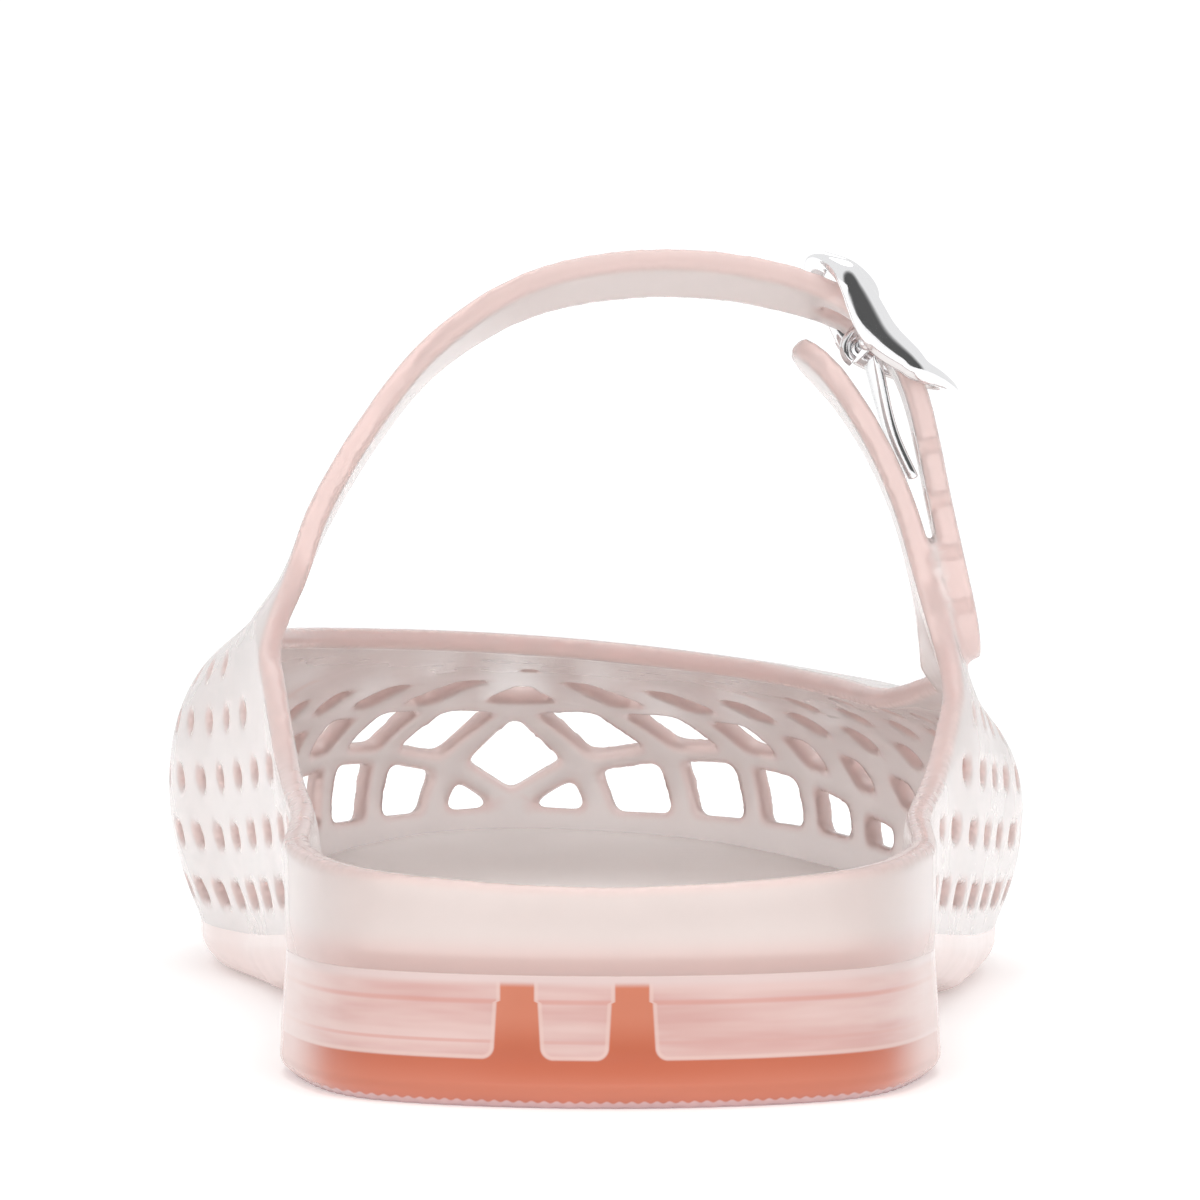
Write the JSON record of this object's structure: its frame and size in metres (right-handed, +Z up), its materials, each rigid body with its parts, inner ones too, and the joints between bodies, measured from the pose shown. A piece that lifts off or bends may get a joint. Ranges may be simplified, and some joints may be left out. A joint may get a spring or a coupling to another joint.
{
  "type": "jelly sandal",
  "caption": "Moulded translucent jelly sandal with a lattice vamp, low open-back collar, buckled instep strap and a low hollow-pocket heel",
  "frame": {"origin": "on the floor under the middle of the heel seat", "axes": "+Y from heel to toe, +X to the outer side of the right foot, +Z up"},
  "size_m": [0.0982, 0.2473, 0.081],
  "materials": {
    "sole_jelly": "clear coral-pink moulded PVC, glossy, deep in the thick heel",
    "jelly": "clear pale-pink moulded PVC, softly glossy",
    "insole_sheet": "matt cream insole sheet",
    "buckle_metal": "polished chrome-plated metal"
  },
  "bodies": {
    "root": {"outsole": "sole_jelly", "insole": "insole_sheet", "upper": "jelly", "buckle_frame": "buckle_metal", "buckle_prong": "buckle_metal", "buckle_chape": "buckle_metal"}
  },
  "joints": []
}
